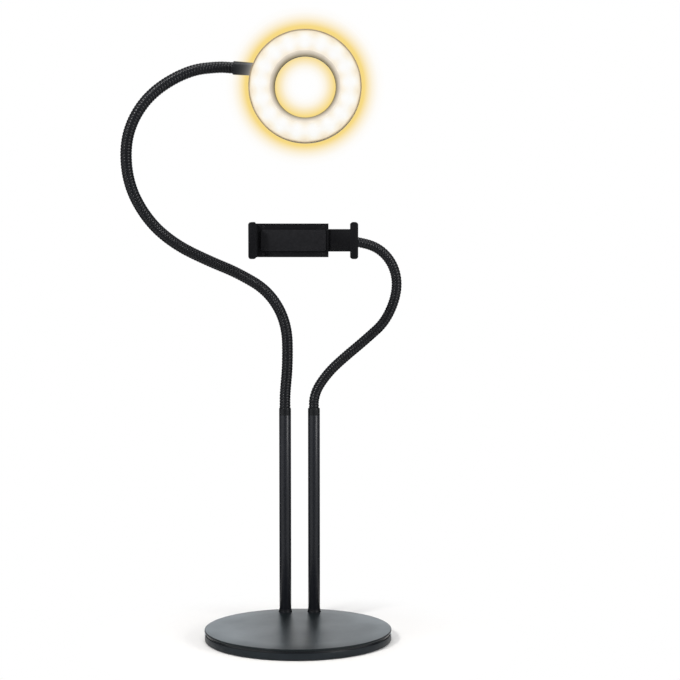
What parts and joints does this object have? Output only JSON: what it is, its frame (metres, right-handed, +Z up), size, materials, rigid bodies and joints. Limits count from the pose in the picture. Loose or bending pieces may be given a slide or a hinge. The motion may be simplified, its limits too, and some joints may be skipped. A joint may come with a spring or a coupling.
{
  "type": "ring light",
  "caption": "Desk stand with a weighted round base and two goosenecks, one with a ring light and one with a sprung phone clamp.",
  "frame": {"origin": "centre of the round base, on its underside, at the surface it stands on", "axes": "+Z up along the posts, -Y towards the user (the light and the clamp face -Y), +X to the right seen from the front"},
  "size_m": [0.2299, 0.155, 0.4991],
  "materials": {
    "foot_rubber": "matte",
    "pan_plastic": "satin",
    "cover_metal": "satin",
    "weight_steel": "mill",
    "screw_steel": "zinc plated",
    "screw_black": "black oxide",
    "post_metal": "satin",
    "ring_brass": "turned",
    "collar_black": "satin",
    "neck_coil": "semi-gloss",
    "ferrule_metal": "satin",
    "lead_black": "satin",
    "sleeve_black": "satin",
    "stud_steel": "polished",
    "shell_black": "satin",
    "bevel_black": "gloss",
    "opal": "opal",
    "reflector_white": "gloss",
    "board_white": "solder mask",
    "led_yellow": "phosphor",
    "plug_white": "satin",
    "clamp_black": "matte",
    "pad_rubber": "matte",
    "spring_steel": "bright",
    "nut_black": "satin"
  },
  "bodies": {
    "base": {"foot_pad": "foot_rubber", "base_pan": "pan_plastic", "base_weight": "weight_steel", "base_cover": "cover_metal", "base_screws": "screw_black", "post_bolts": "screw_steel", "post_washers": "screw_steel", "post_inserts": "ring_brass", "light_post": "post_metal", "phone_post": "post_metal", "post_foot_rings": "collar_black", "cable_grommet": "lead_black", "light_neck_ferrule": "ferrule_metal", "phone_neck_ferrule": "ferrule_metal", "post_grub_screws": "screw_black", "light_neck_1": "neck_coil", "phone_neck_1": "neck_coil", "light_lead": "lead_black"},
    "light_arm_1": {"light_neck_2": "neck_coil"},
    "light_arm_2": {"light_neck_3": "neck_coil"},
    "light_arm_3": {"light_neck_4": "neck_coil"},
    "light_arm_4": {"light_neck_5": "neck_coil", "light_sleeve": "sleeve_black", "light_sleeve_screw": "screw_black"},
    "ring_stud": {"light_ball_stud": "stud_steel"},
    "ring_head": {"ring_rear_cover": "shell_black", "ring_front_bezel": "shell_black", "ring_inner_bezel": "bevel_black", "ring_diffuser": "opal", "ring_reflector": "reflector_white", "led_board": "board_white", "led_chips": "led_yellow", "board_screws": "screw_steel", "ring_cover_screws": "screw_black", "lead_connector": "plug_white", "ring_socket_cap": "shell_black", "socket_screws": "screw_black"},
    "phone_arm_1": {"phone_neck_2": "neck_coil"},
    "phone_arm_2": {"phone_neck_3": "neck_coil", "phone_sleeve": "sleeve_black", "phone_sleeve_screw": "screw_black"},
    "phone_stud": {"phone_ball_stud": "stud_steel"},
    "clamp": {"clamp_body": "clamp_black", "clamp_cover": "clamp_black", "clamp_cover_screws": "screw_black", "clamp_face_pad": "pad_rubber", "fixed_jaw_pad": "pad_rubber", "clamp_springs": "spring_steel"},
    "slider": {"clamp_slider": "clamp_black", "sliding_jaw_pad": "pad_rubber"},
    "lock_nut": {"clamp_lock_nut": "nut_black"}
  },
  "joints": [
    {"name": "light_neck_lean", "type": "hinge", "parent": "base", "child": "light_arm_1", "pos_m": [-0.01115, 0.064, 0.2119], "axis": [-1, 0, 0], "range_deg": [-18, 18], "deforming": ["light_lead"]},
    {"name": "light_neck_swing", "type": "hinge", "parent": "light_arm_1", "child": "light_arm_2", "pos_m": [-0.06215, 0.033, 0.30815], "axis": [0, -1, 0], "range_deg": [-15, 15], "deforming": ["light_lead"]},
    {"name": "light_neck_curl", "type": "hinge", "parent": "light_arm_2", "child": "light_arm_3", "pos_m": [-0.1379, -0.0145, 0.3919], "axis": [0, -1, 0], "range_deg": [-18, 18], "deforming": ["light_lead"]},
    {"name": "light_neck_reach", "type": "hinge", "parent": "light_arm_3", "child": "light_arm_4", "pos_m": [-0.09965, -0.01775, 0.4609], "axis": [0, 0, 1], "range_deg": [-22, 22], "deforming": ["light_lead"]},
    {"name": "ring_tilt", "type": "hinge", "parent": "light_arm_4", "child": "ring_stud", "pos_m": [-0.02589, -0.011, 0.46878], "axis": [-0.9976, 0, 0.0698], "range_deg": [-60, 60], "deforming": ["light_lead"]},
    {"name": "ring_turn", "type": "hinge", "parent": "ring_stud", "child": "ring_head", "pos_m": [-0.02589, -0.011, 0.46878], "axis": [0, 0, 1], "range_deg": [-15, 15], "deforming": ["light_lead"]},
    {"name": "phone_neck_bend", "type": "hinge", "parent": "base", "child": "phone_arm_1", "pos_m": [0.04765, 0.05925, 0.23815], "axis": [0, 1, 0], "range_deg": [-15, 15]},
    {"name": "phone_neck_lean", "type": "hinge", "parent": "phone_arm_1", "child": "phone_arm_2", "pos_m": [0.07915, 0.05325, 0.27515], "axis": [-1, 0, 0], "range_deg": [-18, 18]},
    {"name": "phone_rotate", "type": "hinge", "parent": "phone_arm_2", "child": "phone_stud", "pos_m": [0.0055, -0.011, 0.3316], "axis": [0, 1, 0], "continuous": true},
    {"name": "phone_tilt", "type": "hinge", "parent": "phone_stud", "child": "clamp", "pos_m": [0.0055, -0.011, 0.3316], "axis": [-1, 0, 0], "range_deg": [-18, 18]},
    {"name": "jaw_slide", "type": "slide", "parent": "clamp", "child": "slider", "axis": [1, 0, 0], "range_m": [-0.018, 0.016], "stiffness_N_per_m": 250, "springref_m": -0.022, "deforming": ["clamp_springs"]},
    {"name": "lock_nut_turn", "type": "hinge", "parent": "clamp", "child": "lock_nut", "pos_m": [0.0055, -0.011, 0.3316], "axis": [0, 1, 0], "range_deg": [0, 270]}
  ]
}
